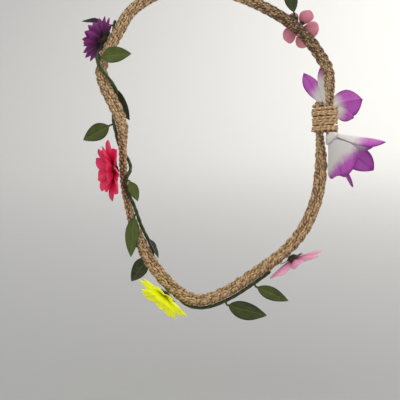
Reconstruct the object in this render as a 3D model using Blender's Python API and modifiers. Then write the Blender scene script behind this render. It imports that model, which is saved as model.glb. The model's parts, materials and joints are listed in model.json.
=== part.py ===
"""A flower crown: a loop of plaited jute whose two ends are whipped together with twine, with a
taped wire vine wound along it that carries leaves, and seven fabric flowers set on the rope.

It is modelled as it hangs round a neck. The origin is where the back of the neck meets the rope,
+X is the wearer's left, -Y is forward and +Z is up. Chosen points are in millimetres.
"""

import math

import bmesh
import bpy
from mathutils import Matrix, Vector

MM = 0.001

# Rope: three strands in a flat plait
STRAND_DIAMETER = 2.4 * MM
STRAND_GAP = 0.5 * MM
PLAIT_PITCH = 44.0 * MM
PLAIT_STEPS_PER_PITCH = 11
STRAND_RADIUS = STRAND_DIAMETER / 2
PLAIT_SWING = 1.04 * (STRAND_DIAMETER + STRAND_GAP)
PLAIT_LIFT = (STRAND_DIAMETER + STRAND_GAP) / math.sqrt(3)
HALF_WIDTH = PLAIT_SWING + STRAND_RADIUS
HALF_THICKNESS = PLAIT_LIFT + STRAND_RADIUS

# Clearance between pieces that touch on the real crown
TOUCH = 0.35 * MM

# Whipping that holds the two rope ends side by side
BINDING_CENTRE = Vector((81, -87, -91)) * MM
BINDING_AXIS = Vector((0, 0.09, 1)).normalized()
TWINE_DIAMETER = 1.5 * MM
TWINE_PITCH = 1.95 * MM
TWINE_TURNS = 8.5
TWINE_STEPS_PER_TURN = 12
TWINE_SLACK = 0.3 * MM
WHIPPING_SQUARENESS = 3.2
END_SHOWING = 1.6 * MM
ENDS_APART = HALF_THICKNESS + 0.3 * MM
WHIPPING_LENGTH = TWINE_TURNS * TWINE_PITCH + TWINE_DIAMETER

# The free stretch of the rope, from above the whipping round the neck to below it:
# x, y, z in millimetres, and the turn of the plait's flat side away from the wearer's chest, in degrees
ROUTE = (
    (84.5, -81, -69, 62),
    (84, -73, -59, 40),
    (80, -65, -50, 25),
    (73, -54, -38.5, 15),
    (62, -40, -27, 5),
    (46, -24, -16, 0),
    (26, -6, -6, 0),
    (2, 4.6, 0, 0),
    (-20, 0, -1, 0),
    (-37, -15, -9, 0),
    (-49, -33, -20, 10),
    (-56, -48, -34, 25),
    (-63, -61, -49, 40),
    (-65.5, -68, -60, 38),
    (-62, -75, -71, 25),
    (-55, -81, -84, 22),
    (-50.5, -87, -96, 50),
    (-50, -91, -110, 85),
    (-49, -95, -130, 95),
    (-46, -98, -147, 90),
    (-41, -101, -163, 60),
    (-32.5, -105, -180, 30),
    (-21, -109, -194, 25),
    (-9, -111, -203, 40),
    (3, -111, -205, 50),
    (18, -111, -199, 50),
    (36, -109, -187.5, 50),
    (54, -105, -175, 45),
    (67, -99, -161, 25),
    (75.5, -94, -142, 0),
    (78.5, -90.5, -122, 35),
)

# Vine: taped wire that winds along the rope. Each row is the place along the rope, as a share of
# its length, and the angle round it, in degrees: 0 in front, 90 outside the loop, 180 behind.
VINE_DIAMETER = 2.2 * MM
LONG_VINE = (
    (0.404, 95),
    (0.418, 140),
    (0.434, 185),
    (0.448, 145),
    (0.461, 55),
    (0.474, -5),
    (0.486, -60),
    (0.498, -105),
    (0.511, -178),
    (0.524, -240),
    (0.537, -264),
    (0.549, -240),
    (0.561, -190),
    (0.573, -140),
    (0.583, -75),
    (0.593, -18),
    (0.606, -20),
    (0.618, -48),
    (0.631, -72),
    (0.646, -85),
    (0.662, -115),
    (0.680, -165),
    (0.700, -182),
    (0.716, -205),
    (0.731, -256),
    (0.746, -270),
    (0.775, -272),
    (0.800, -270),
    (0.818, -262),
)
TOP_VINE = (
    (0.148, 100),
    (0.158, 125),
    (0.170, 155),
    (0.186, 175),
)

# Leaves: the vine, the place along the rope, the way to the tip (mm), the way the upper face
# looks, the half width (mm)
LEAF_THICKNESS = 0.6 * MM
LEAF_STALK_HALF_WIDTH = 0.9 * MM
LEAF_FOLD = 0.16
LEAF_CURL = 0.10
LEAVES = (
    ("long", 0.409, (-20, 6, 4.5), (-0.15, 0.35, 0.92), 4.8),
    ("long", 0.462, (20.5, -7, 2.5), (0.1, -0.95, 0.3), 5.6),
    ("long", 0.492, (11, 5.5, -24.5), (-0.25, -0.95, 0.1), 4.4),
    ("long", 0.533, (-17.5, -3, -9.5), (0.1, -1, 0.15), 5.4),
    ("long", 0.594, (6, -6, -12), (0.3, -0.9, 0.2), 3.4),
    ("long", 0.629, (-2.5, -9, -25), (-0.2, -0.97, 0.15), 4.6),
    ("long", 0.656, (7, -1.5, -12), (0.9, -0.4, 0.3), 3.0),
    ("long", 0.674, (-13, 3, -17.5), (-0.35, -0.9, 0.1), 5.2),
    ("long", 0.765, (25, -6, -6.5), (0.1, -0.97, -0.2), 6.2),
    ("long", 0.797, (20, -7, -7.5), (0.1, -0.97, 0.1), 4.2),
    ("top", 0.154, (-5, 7, 23), (-0.2, -0.9, 0.3), 4.6),
)

# Flower fittings: every head turns on a pin that stands in a calyx glued to the rope
PIN_RADIUS = 1.1 * MM
PIN_CLEARANCE = 0.35 * MM
PETAL_THICKNESS = 0.7 * MM
CALYX_WALL = 1.5 * MM
CALYX_FOOT_RADIUS = PIN_RADIUS + PIN_CLEARANCE + CALYX_WALL / 2
SOCKET_FLOOR = 0.6 * MM
PIN_TIP_GAP = 0.35 * MM
TURNED_STEPS = 10


def smooth_path(points, per_span=12):
    """A Catmull-Rom curve through rows of numbers, as a list of rows."""
    rows = [list(map(float, row)) for row in points]
    first = [2 * a - b for a, b in zip(rows[0], rows[1])]
    last = [2 * a - b for a, b in zip(rows[-1], rows[-2])]
    padded = [first] + rows + [last]
    path = []
    for i in range(1, len(padded) - 2):
        before, start, end, after = padded[i - 1 : i + 3]
        for step in range(per_span):
            t = step / per_span
            path.append(
                [
                    b + 0.5 * t * ((c - a) + t * ((2 * a - 5 * b + 4 * c - d) + t * (3 * b - a - 3 * c + d)))
                    for a, b, c, d in zip(before, start, end, after)
                ]
            )
    path.append(rows[-1])
    return path


class Rope:
    """The rope's centre line, with its direction and the turn of its flat side at any place."""

    def __init__(self):
        self.path = smooth_path(self.points())
        self.places = [0.0]
        for a, b in zip(self.path, self.path[1:]):
            self.places.append(self.places[-1] + (Vector(b[:3]) - Vector(a[:3])).length)
        self.length = self.places[-1]

    @staticmethod
    def points():
        """The rope's own points: two straight ends in the whipping, and the free stretch between them."""
        reach = WHIPPING_LENGTH / 2 + END_SHOWING
        along = [-reach, -reach / 2, 0, reach / 2, reach]
        upper = [BINDING_CENTRE + Vector((ENDS_APART, 0, 0)) + BINDING_AXIS * a for a in along]
        lower = [BINDING_CENTRE - Vector((ENDS_APART, 0, 0)) + BINDING_AXIS * a for a in along]
        free = [(x * MM, y * MM, z * MM, turn) for x, y, z, turn in ROUTE]
        return [(*p, 90) for p in upper] + free + [(*p, 90) for p in lower]

    def row(self, share):
        place = min(max(share, 0.0), 1.0) * self.length
        i = next(k for k in range(1, len(self.places)) if self.places[k] >= place - 1e-12)
        span = self.places[i] - self.places[i - 1]
        t = (place - self.places[i - 1]) / span
        return [a + (b - a) * t for a, b in zip(self.path[i - 1], self.path[i])]

    def at(self, share):
        return Vector(self.row(share)[:3])

    def frame(self, share):
        """Unit vectors along the rope, forwards and outwards."""
        step = 0.002
        along = (self.at(share + step) - self.at(share - step)).normalized()
        ahead = Vector((0, -1, 0))
        ahead = (ahead - along * ahead.dot(along)).normalized()
        return along, ahead, along.cross(ahead)

    def flat(self, share):
        """Unit vectors across the plait's width and through its thickness."""
        _, ahead, outward = self.frame(share)
        turn = math.radians(self.row(share)[3])
        wide = outward * math.cos(turn) + ahead * math.sin(turn)
        thin = ahead * math.cos(turn) - outward * math.sin(turn)
        return wide, thin

    def reach(self, share, direction):
        """How far the plait stands out from its centre line in a direction."""
        wide, thin = self.flat(share)
        across = direction.dot(wide)
        through = direction.dot(thin)
        size = math.hypot(across, through)
        return 1 / math.hypot(across / size / HALF_WIDTH, through / size / (HALF_THICKNESS * 1.12))

    def beside(self, share, degrees, distance):
        """A point at an angle round the rope, a distance clear of its surface."""
        _, ahead, outward = self.frame(share)
        angle = math.radians(degrees)
        direction = ahead * math.cos(angle) + outward * math.sin(angle)
        return self.at(share) + direction * (self.reach(share, direction) + distance)


def new_material(name, colour, roughness=0.6, metallic=0.0):
    material = bpy.data.materials.new(name)
    material.use_nodes = True
    shader = material.node_tree.nodes["Principled BSDF"]
    shader.inputs["Base Color"].default_value = (*colour, 1)
    shader.inputs["Roughness"].default_value = roughness
    shader.inputs["Metallic"].default_value = metallic
    return material


def add_object(name, data, colour, matrix=None, parent=None):
    obj = bpy.data.objects.new(name, data)
    bpy.data.collections["flower_crown"].objects.link(obj)
    obj.data.materials.append(new_material(name, colour))
    obj.parent = parent
    obj.matrix_basis = matrix or Matrix()
    return obj


def add_tube(name, points, diameter, colour, sides=6):
    """A round cord through points, with closed ends."""
    curve = bpy.data.curves.new(name, "CURVE")
    curve.dimensions = "3D"
    curve.bevel_depth = diameter / 2
    curve.bevel_resolution = sides // 2 - 2
    curve.use_fill_caps = True
    curve.twist_mode = "MINIMUM"
    spline = curve.splines.new("POLY")
    spline.points.add(len(points) - 1)
    for target, point in zip(spline.points, points):
        target.co = (*point, 1)
    return add_object(name, curve, colour)


def add_turned(name, profile, colour, parent):
    """A turned piece: the profile (radius, height) runs down its outer side."""
    mesh = bpy.data.meshes.new(name)
    edges = [(i, i + 1) for i in range(len(profile) - 1)]
    mesh.from_pydata([(r, 0, z) for r, z in profile], edges, [])
    obj = add_object(name, mesh, colour, parent=parent)
    screw = obj.modifiers.new("Turn", "SCREW")
    screw.steps = TURNED_STEPS
    screw.render_steps = TURNED_STEPS
    screw.use_merge_vertices = True
    screw.merge_threshold = 0.00001
    return obj


def thicken(obj, thickness):
    shell = obj.modifiers.new("Thickness", "SOLIDIFY")
    shell.thickness = thickness
    shell.offset = 0
    return obj


def facing(origin, axis, up):
    """A matrix whose Z is the axis and whose X lies towards up."""
    z = Vector(axis).normalized()
    x = (Vector(up) - z * Vector(up).dot(z)).normalized()
    y = z.cross(x)
    return Matrix.Translation(origin) @ Matrix((x, y, z)).transposed().to_4x4()


class Petal:
    """One lobe of a cut fabric layer: which way it points, its size, and how it rises and cups."""

    def __init__(self, azimuth, length, half_width, rise=10, rise_end=30, cup=0.25, tip=0.35, widest=0.62):
        self.azimuth = math.radians(azimuth)
        self.length = length * MM
        self.half_width = half_width * MM
        self.rise = math.radians(rise)
        self.bend = math.radians(rise_end - rise) or 1e-6
        self.cup = cup
        self.tip = tip
        self.widest = widest

    def middle(self, s):
        """How far out and how high the petal's middle line is at a share of its length."""
        angle = self.rise + self.bend * s
        out = self.length * (math.sin(angle) - math.sin(self.rise)) / self.bend
        high = self.length * (math.cos(self.rise) - math.cos(angle)) / self.bend
        return out, high

    def width(self, s):
        """The half width: it swells to the widest place and closes to a share of that at the tip."""
        if s < self.widest:
            return self.half_width * (0.35 + 0.65 * math.sin(math.pi / 2 * s / self.widest))
        t = (s - self.widest) / (1 - self.widest)
        return self.half_width * (self.tip + (1 - self.tip) * math.cos(math.pi / 2 * t) ** 0.8)

    def point(self, s, a, hub):
        """The point at a share s of the length and a of the half width, -1 to 1."""
        s -= 0.10 * self.tip * a * a * s
        out, high = self.middle(s)
        side = a * self.width(s)
        angle = self.rise + self.bend * s
        lift = self.cup * a * a * self.width(s)
        outward = Vector((math.cos(self.azimuth), math.sin(self.azimuth), 0))
        across = Vector((-outward.y, outward.x, 0))
        normal = Vector((0, 0, 1)) * math.cos(angle) - outward * math.sin(angle)
        return outward * (hub + out) + Vector((0, 0, high)) + across * side + normal * lift


def petal_layer(name, petals, colour, parent, height=0.0, ring_steps=32, span=3, rows=3, hub=2.9 * MM):
    """A layer of petals cut from one piece: a ring that the pin goes through, and a lobe at each petal."""
    bm = bmesh.new()
    bore = PIN_RADIUS + PIN_CLEARANCE
    bmesh.ops.create_circle(bm, segments=ring_steps, radius=bore)
    bmesh.ops.create_circle(bm, segments=ring_steps, radius=hub)
    bmesh.ops.bridge_loops(bm, edges=bm.edges[:])
    step = 2 * math.pi / ring_steps
    for petal in petals:
        first = round((petal.azimuth - span * step / 2) / step)
        petal.azimuth = (first + span / 2) * step
        made = bmesh.ops.create_grid(bm, x_segments=rows, y_segments=span, size=1)
        for vert in made["verts"]:
            s = (vert.co.x + 1) / 2
            a = vert.co.y
            if s < 0.5 / rows:
                angle = petal.azimuth + a * span * step / 2
                vert.co = (math.cos(angle) * hub, math.sin(angle) * hub, 0)
            else:
                vert.co = petal.point(s, a, hub)
    bmesh.ops.remove_doubles(bm, verts=bm.verts[:], dist=0.00002)
    bmesh.ops.recalc_face_normals(bm, faces=bm.faces[:])
    mesh = bpy.data.meshes.new(name)
    bm.to_mesh(mesh)
    bm.free()
    mesh.shade_smooth()
    placed = Matrix.Translation((0, 0, height))
    return thicken(add_object(name, mesh, colour, placed, parent), PETAL_THICKNESS)


def even_petals(count, length, half_width, turned=0.0, **shape):
    return [Petal(360 * i / count + turned, length, half_width, **shape) for i in range(count)]


def add_calyx(name, parent, stalk, top_radius, colour):
    """The cup behind a flower, with the blind socket that the pin stands in."""
    top = -PETAL_THICKNESS / 2 - TOUCH
    socket = PIN_RADIUS + PIN_CLEARANCE
    foot = -stalk
    profile = (
        (0, foot + SOCKET_FLOOR),
        (socket, foot + SOCKET_FLOOR),
        (socket, top),
        (top_radius, top),
        (top_radius * 0.97, top - 0.8 * MM),
        (CALYX_FOOT_RADIUS * 1.15, foot + 0.7 * MM),
        (CALYX_FOOT_RADIUS, foot),
        (0, foot),
    )
    return add_turned(name, profile, colour, parent)


def add_centre(name, parent, under, radius, dome, stalk, colour):
    """The flower's middle: a domed head over the petals and the pin below it."""
    steps = 5
    arc = [(radius * math.sin(math.pi / 2 * i / steps), under + dome * math.cos(math.pi / 2 * i / steps)) for i in range(steps)]
    rim = (radius, under + 0.15 * dome)
    pin_foot = -stalk + SOCKET_FLOOR + PIN_TIP_GAP
    profile = [(0, arc[0][1])] + arc[1:] + [rim, (radius * 0.9, under), (PIN_RADIUS, under), (PIN_RADIUS, pin_foot), (0, pin_foot)]
    return add_turned(name, profile, colour, parent)


def add_empty(name, matrix):
    empty = bpy.data.objects.new(name, None)
    empty.empty_display_size = 0.01
    bpy.data.collections["flower_crown"].objects.link(empty)
    empty.matrix_world = matrix
    return empty


def flower_base(rope, share, axis, stalk, up=(0, 0, 1)):
    """The empty at a flower's petals: its Z is the pin, and its stalk ends clear of the rope."""
    axis = Vector(axis).normalized()
    along, _, _ = rope.frame(share)
    sideways = (axis - along * axis.dot(along)).normalized()
    off = rope.reach(share, sideways) + TOUCH
    slant = min(max(axis.dot(sideways), 0.5), 1.0)
    tilted_foot = CALYX_FOOT_RADIUS * math.sqrt(1 - slant**2)
    origin = rope.at(share) + sideways * off + axis * (stalk + tilted_foot)
    return facing(origin, axis, up)


def build_rope(rope):
    pitches = rope.length / PLAIT_PITCH
    steps = round(pitches * PLAIT_STEPS_PER_PITCH)
    colours = ((0.50, 0.33, 0.16), (0.58, 0.39, 0.20), (0.44, 0.28, 0.13))
    for strand in range(3):
        points = []
        for i in range(steps + 1):
            share = i / steps
            phase = 2 * math.pi * (pitches * share + strand / 3)
            wide, thin = rope.flat(share)
            offset = wide * (PLAIT_SWING * math.sin(phase)) + thin * (PLAIT_LIFT * math.sin(2 * phase))
            points.append(rope.at(share) + offset)
        add_tube(f"braid_strand_{strand + 1}", points, STRAND_DIAMETER, colours[strand])


def build_binding():
    """The whipping twine: a coil that hugs both rope ends, squarer than an ellipse."""
    clear = TOUCH + TWINE_SLACK + TWINE_DIAMETER / 2
    half_x = ENDS_APART + HALF_THICKNESS + clear
    half_y = HALF_WIDTH + clear
    side = Vector((1, 0, 0))
    front = BINDING_AXIS.cross(side)
    steps = round(TWINE_TURNS * TWINE_STEPS_PER_TURN)
    points = []
    for i in range(steps + 1):
        angle = 2 * math.pi * i / TWINE_STEPS_PER_TURN
        c, s = math.cos(angle), math.sin(angle)
        size = (abs(c) ** WHIPPING_SQUARENESS + abs(s) ** WHIPPING_SQUARENESS) ** (-1 / WHIPPING_SQUARENESS)
        rise = (i / steps - 0.5) * TWINE_TURNS * TWINE_PITCH
        points.append(BINDING_CENTRE + side * (c * size * half_x) + front * (s * size * half_y) + BINDING_AXIS * rise)
    add_tube("binding_twine", points, TWINE_DIAMETER, (0.52, 0.33, 0.15))


class Vine:
    """A stem that winds along the rope, through rows of a place along it and an angle round it."""

    def __init__(self, rope, rows):
        self.rope = rope
        self.rows = smooth_path(rows, per_span=3)

    def points(self):
        return [self.point(*row) for row in self.rows]

    def point(self, share, degrees):
        return self.rope.beside(share, degrees, VINE_DIAMETER / 2 + TOUCH)

    def at(self, share):
        """The stem's centre and its direction at a place along the rope."""
        i = next(k for k in range(1, len(self.rows)) if self.rows[k][0] >= share)
        before, after = self.rows[i - 1], self.rows[i]
        t = (share - before[0]) / (after[0] - before[0])
        start, end = self.point(*before), self.point(*after)
        return start.lerp(end, t), (end - start).normalized()


def build_vines(rope):
    vines = {"long": Vine(rope, LONG_VINE), "top": Vine(rope, TOP_VINE)}
    for name, vine in vines.items():
        add_tube(f"vine_stem_{name}", vine.points(), VINE_DIAMETER, (0.13, 0.22, 0.06))
    return vines


def leaf_mesh(name, length, half_width):
    """A leaf along +X with its face to +Z: a narrow stalk, a pointed oval, a fold along the midrib."""
    bm = bmesh.new()
    rows = 9
    made = bmesh.ops.create_grid(bm, x_segments=rows, y_segments=2, size=1)
    for vert in made["verts"]:
        s = (vert.co.x + 1) / 2
        blade = max((s - 0.06) / 0.94, 0.0)
        width = half_width * math.sin(math.pi * blade ** 0.82) ** 0.85 if 0 < blade < 1 else 0.0
        narrow = LEAF_STALK_HALF_WIDTH * (1 - 0.6 * s)
        half = max(width, narrow)
        a = vert.co.y
        height = LEAF_FOLD * abs(a) * half - LEAF_CURL * length * s * s
        vert.co = (length * s, a * half, height)
    mesh = bpy.data.meshes.new(name)
    bm.to_mesh(mesh)
    bm.free()
    mesh.shade_smooth()
    return mesh


def build_leaves(vines):
    for number, (vine, share, way, face, half_width) in enumerate(LEAVES, 1):
        at, along = vines[vine].at(share)
        way = Vector(way) * MM
        off = (way - along * way.dot(along)).normalized()
        base = at + off * (VINE_DIAMETER / 2 + TOUCH + LEAF_STALK_HALF_WIDTH)
        x = way.normalized()
        z = (Vector(face) - x * Vector(face).dot(x)).normalized()
        matrix = Matrix.Translation(base) @ Matrix((x, z.cross(x), z)).transposed().to_4x4()
        name = f"leaf_{number:02d}"
        mesh = leaf_mesh(name, way.length, half_width * MM)
        thicken(add_object(name, mesh, (0.16, 0.25, 0.06), matrix), LEAF_THICKNESS)


def build_aster(rope):
    stalk = 2.6 * MM
    head = add_empty("purple_aster_turn", flower_base(rope, 0.436, (-0.84, 0.38, 0.38), stalk))
    outer = even_petals(12, 14.0, 2.3, rise=8, rise_end=28, tip=0.15, widest=0.5)
    inner = even_petals(8, 11.0, 2.2, rise=40, rise_end=58, tip=0.15, widest=0.5)
    inner_height = 1.5 * MM
    colour = (0.20, 0.02, 0.22)
    petal_layer("purple_aster_outer_petals", outer, colour, head, 0, 48, 2, 3, hub=4.2 * MM)
    petal_layer("purple_aster_inner_petals", inner, colour, head, inner_height, 32, 2, 3, hub=3.2 * MM)
    under = inner_height + PETAL_THICKNESS / 2 + TOUCH
    add_centre("purple_aster_centre", head, under, 2.2 * MM, 2.4 * MM, stalk, (0.10, 0.02, 0.08))
    add_calyx("purple_aster_calyx", head, stalk, 3.9 * MM, (0.02, 0.03, 0.01))


def build_daisy(rope, name, share, axis, stalk, colour, half_width, count):
    head = add_empty(f"{name}_turn", flower_base(rope, share, axis, stalk))
    back = even_petals(count, 15.6, half_width, rise=5, rise_end=16)
    front = even_petals(count, 12.6, half_width * 0.9, turned=180 / count, rise=14, rise_end=34)
    front_height = 1.4 * MM
    rings = 4 * count
    petal_layer(f"{name}_back_petals", back, colour, head, 0, rings, 3, 3, hub=3.2 * MM)
    petal_layer(f"{name}_front_petals", front, colour, head, front_height, rings, 3, 3, hub=3.0 * MM)
    under = front_height + PETAL_THICKNESS / 2 + TOUCH
    add_centre(f"{name}_centre", head, under, 2.8 * MM, 2.0 * MM, stalk, (0.75, 0.42, 0.03))
    add_calyx(f"{name}_calyx", head, stalk, 4.4 * MM, (0.05, 0.12, 0.03))


def build_pale_flower(rope):
    stalk = 3.0 * MM
    head = add_empty("pale_pink_turn", flower_base(rope, 0.843, (0.46, -0.14, -0.88), stalk, up=(1, 0, 0)))
    petals = even_petals(8, 16.5, 3.6, rise=8, rise_end=22, tip=0.3)
    petal_layer("pale_pink_petals", petals, (0.85, 0.45, 0.60), head, 0, 32, 3, 4, hub=3.0 * MM)
    under = PETAL_THICKNESS / 2 + TOUCH
    add_centre("pale_pink_centre", head, under, 2.4 * MM, 1.8 * MM, stalk, (0.85, 0.60, 0.30))
    add_calyx("pale_pink_calyx", head, stalk, 4.4 * MM, (0.10, 0.05, 0.04))


def build_top_blossom(rope):
    stalk = 2.6 * MM
    head = add_empty("top_blossom_turn", flower_base(rope, 0.143, (0.50, 0.84, -0.10), stalk))
    petals = even_petals(5, 10.5, 4.8, turned=18, rise=4, rise_end=24, cup=0.2, tip=0.5)
    petal_layer("top_blossom_petals", petals, (0.80, 0.36, 0.44), head, 0, 20, 3, 3, hub=2.8 * MM)
    under = PETAL_THICKNESS / 2 + TOUCH
    add_centre("top_blossom_centre", head, under, 1.9 * MM, 1.5 * MM, stalk, (0.85, 0.65, 0.30))
    add_calyx("top_blossom_calyx", head, stalk, 3.0 * MM, (0.08, 0.10, 0.03))


def build_orchid(name, origin, axis, up, sepals, petals, lip):
    """An orchid: three sepals, two broad petals in front of them, the lip, the column and the stem."""
    stalk = 4.5 * MM
    head = add_empty(f"{name}_turn", facing(Vector(origin) * MM, axis, up))
    magenta = (0.55, 0.10, 0.55)
    petals_height = 1.5 * MM
    lip_height = 3.0 * MM
    petal_layer(f"{name}_sepals", sepals, magenta, head, 0, 16, 4, 4, hub=3.0 * MM)
    petal_layer(f"{name}_petals", petals, magenta, head, petals_height, 16, 5, 4, hub=2.7 * MM)
    petal_layer(f"{name}_lip", lip, magenta, head, lip_height, 16, 4, 4, hub=2.3 * MM)
    under = lip_height + PETAL_THICKNESS / 2 + TOUCH
    add_centre(f"{name}_column", head, under, 1.5 * MM, 3.0 * MM, stalk, (0.85, 0.80, 0.82))
    add_calyx(f"{name}_stem", head, stalk, 2.3 * MM, (0.80, 0.80, 0.74))


def build_orchids():
    build_orchid(
        "low_orchid",
        (84.5, -100.5, -103.0),
        (0.74, -0.10, -0.66),
        (0.66, 0.0, 0.74),
        [Petal(azimuth, 32, 5.5, 52, 52, tip=0.06, widest=0.55) for azimuth in (35, 165, 275)],
        [Petal(138, 27, 10, 70, 62, tip=0.3), Petal(340, 24, 9, 70, 62, tip=0.3)],
        [Petal(215, 16, 4.0, 76, 72, tip=0.1)],
    )
    build_orchid(
        "high_orchid",
        (83.5, -74.0, -83.5),
        (0.0, 0.95, -0.31),
        (-0.08, 0.31, 0.95),
        [Petal(azimuth, length, 4.0, 16, 6, tip=0.06, widest=0.55) for azimuth, length in ((0, 22), (112, 20), (202, 14))],
        [Petal(84, 22, 8.5, 26, 16, tip=0.3), Petal(330, 20, 7.5, 26, 16, tip=0.3)],
        [Petal(180, 13, 4.0, 60, 66, tip=0.2)],
    )


def main():
    for obj in list(bpy.data.objects):
        bpy.data.objects.remove(obj)
    bpy.context.scene.collection.children.link(bpy.data.collections.new("flower_crown"))
    rope = Rope()
    build_rope(rope)
    build_binding()
    build_leaves(build_vines(rope))
    build_aster(rope)
    build_daisy(rope, "pink_daisy", 0.582, (-0.93, -0.35, -0.05), 2.4 * MM, (0.75, 0.03, 0.12), 3.9, 8)
    build_daisy(rope, "yellow_daisy", 0.712, (-0.62, -0.36, -0.70), 2.6 * MM, (0.90, 0.95, 0.03), 3.1, 10)
    build_pale_flower(rope)
    build_top_blossom(rope)
    build_orchids()
    bpy.context.view_layer.update()


main()
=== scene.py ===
"""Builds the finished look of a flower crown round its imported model: the plaited jute rope and its
whipping, the leafy vine, the cloth flowers, and a plain studio round them.

+X is the wearer's left, -Y is forward and +Z is up, in metres. Chosen points are in millimetres.
"""

import json
import math
import random
from dataclasses import dataclass

import bpy
import numpy as np
from bpy.props import FloatProperty, FloatVectorProperty, IntProperty, PointerProperty
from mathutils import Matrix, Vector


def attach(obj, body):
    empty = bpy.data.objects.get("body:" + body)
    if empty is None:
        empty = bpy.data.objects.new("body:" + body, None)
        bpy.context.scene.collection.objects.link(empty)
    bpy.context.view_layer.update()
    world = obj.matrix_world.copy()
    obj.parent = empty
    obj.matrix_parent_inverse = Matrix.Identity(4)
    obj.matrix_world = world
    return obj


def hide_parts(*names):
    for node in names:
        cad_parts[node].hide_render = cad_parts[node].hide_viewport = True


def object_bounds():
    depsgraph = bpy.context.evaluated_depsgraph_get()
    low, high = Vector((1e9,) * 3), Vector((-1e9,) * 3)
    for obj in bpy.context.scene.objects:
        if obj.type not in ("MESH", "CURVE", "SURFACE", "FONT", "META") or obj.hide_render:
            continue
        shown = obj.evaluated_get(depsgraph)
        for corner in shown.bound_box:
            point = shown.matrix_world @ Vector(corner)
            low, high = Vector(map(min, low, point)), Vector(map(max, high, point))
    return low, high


bl_info = {
    "name": "Flower Crown Maker",
    "version": (1, 0, 0),
    "blender": (4, 5, 0),
    "location": "3D View > Sidebar > Flower Crown",
    "description": "Plaits the rope, winds the vine and sets the cloth leaves and flowers of a flower crown",
    "category": "Add Mesh",
}

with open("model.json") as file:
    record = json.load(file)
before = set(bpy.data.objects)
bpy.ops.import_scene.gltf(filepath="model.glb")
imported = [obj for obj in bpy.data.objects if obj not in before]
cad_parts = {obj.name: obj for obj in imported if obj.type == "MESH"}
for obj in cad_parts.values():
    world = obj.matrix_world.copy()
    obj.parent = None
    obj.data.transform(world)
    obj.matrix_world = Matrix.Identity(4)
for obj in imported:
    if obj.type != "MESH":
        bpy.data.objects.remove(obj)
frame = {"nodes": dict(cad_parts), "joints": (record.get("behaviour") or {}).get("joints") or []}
CAD_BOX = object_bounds()
JOINTS = {joint["name"]: joint for joint in frame["joints"]}

MM = 0.001
TURN = 2 * math.pi
NEARLY_CLOSED = 0.01 * MM
PIN_HOLE = 1.6 * MM
STRAY = np.array((0.27, 0.93, 0.25))  # a direction that no stem or rope runs along

# The rope's route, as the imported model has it
HALF_WIDTH = 4.22 * MM
HALF_THICKNESS = 2.87 * MM
BINDING_CENTRE = np.array((81, -87, -91)) * MM
BINDING_AXIS = np.array((0, 0.09, 1)) / math.hypot(0.09, 1)
ENDS_APART = HALF_THICKNESS + 0.3 * MM
WHIPPING_LENGTH = 18.1 * MM
END_SHOWING = 1.6 * MM
TOUCH = 0.35 * MM
ROUTE = (
    (84.5, -81, -69, 62), (84, -73, -59, 40), (80, -65, -50, 25), (73, -54, -38.5, 15),
    (62, -40, -27, 5), (46, -24, -16, 0), (26, -6, -6, 0), (2, 4.6, 0, 0),
    (-20, 0, -1, 0), (-37, -15, -9, 0), (-49, -33, -20, 10), (-56, -48, -34, 25),
    (-63, -61, -49, 40), (-65.5, -68, -60, 38), (-62, -75, -71, 25), (-55, -81, -84, 22),
    (-50.5, -87, -96, 50), (-50, -91, -110, 85), (-49, -95, -130, 95), (-46, -98, -147, 90),
    (-41, -101, -163, 60), (-32.5, -105, -180, 30), (-21, -109, -194, 25), (-9, -111, -203, 40),
    (3, -111, -205, 50), (18, -111, -199, 50), (36, -109, -187.5, 50), (54, -105, -175, 45),
    (67, -99, -161, 25), (75.5, -94, -142, 0), (78.5, -90.5, -122, 35),
)

# The vine's winding: the place along the rope and the angle round it, 0 in front and 90 outside
VINE_DIAMETER = 2.2 * MM
LONG_VINE = (
    (0.404, 95), (0.418, 140), (0.434, 185), (0.448, 145), (0.461, 55), (0.474, -5),
    (0.486, -60), (0.498, -105), (0.511, -178), (0.524, -240), (0.537, -264), (0.549, -240),
    (0.561, -190), (0.573, -140), (0.583, -75), (0.593, -18), (0.606, -20), (0.618, -48),
    (0.631, -72), (0.646, -85), (0.662, -115), (0.680, -165), (0.700, -182), (0.716, -205),
    (0.731, -256), (0.746, -270), (0.775, -272), (0.800, -270), (0.818, -262),
)
TOP_VINE = ((0.148, 100), (0.158, 125), (0.170, 155), (0.186, 175))


# ---------------------------------------------------------------- shader maths


class Value:
    """A socket in a material, so that shader maths reads as plain expressions."""

    def __init__(self, recipe, socket):
        self.recipe = recipe
        self.socket = socket

    def join(self, operation, first, second):
        """Colours go through Mix, vectors through Vector Math and numbers through Math."""
        kinds = [v.socket.type for v in (first, second) if isinstance(v, Value)]
        if "RGBA" in kinds:
            return self.recipe.blend(1.0, first, second, operation)
        if "VECTOR" in kinds:
            first, second = (v if isinstance(v, Value) else (v, v, v) for v in (first, second))
            return self.recipe.node("ShaderNodeVectorMath", {"operation": operation}, {0: first, 1: second})
        return self.recipe.number(operation, first, second)

    def __add__(self, other):
        return self.join("ADD", self, other)

    def __radd__(self, other):
        return self.join("ADD", other, self)

    def __sub__(self, other):
        return self.join("SUBTRACT", self, other)

    def __rsub__(self, other):
        return self.join("SUBTRACT", other, self)

    def __mul__(self, other):
        return self.join("MULTIPLY", self, other)

    def __rmul__(self, other):
        return self.join("MULTIPLY", other, self)


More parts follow.
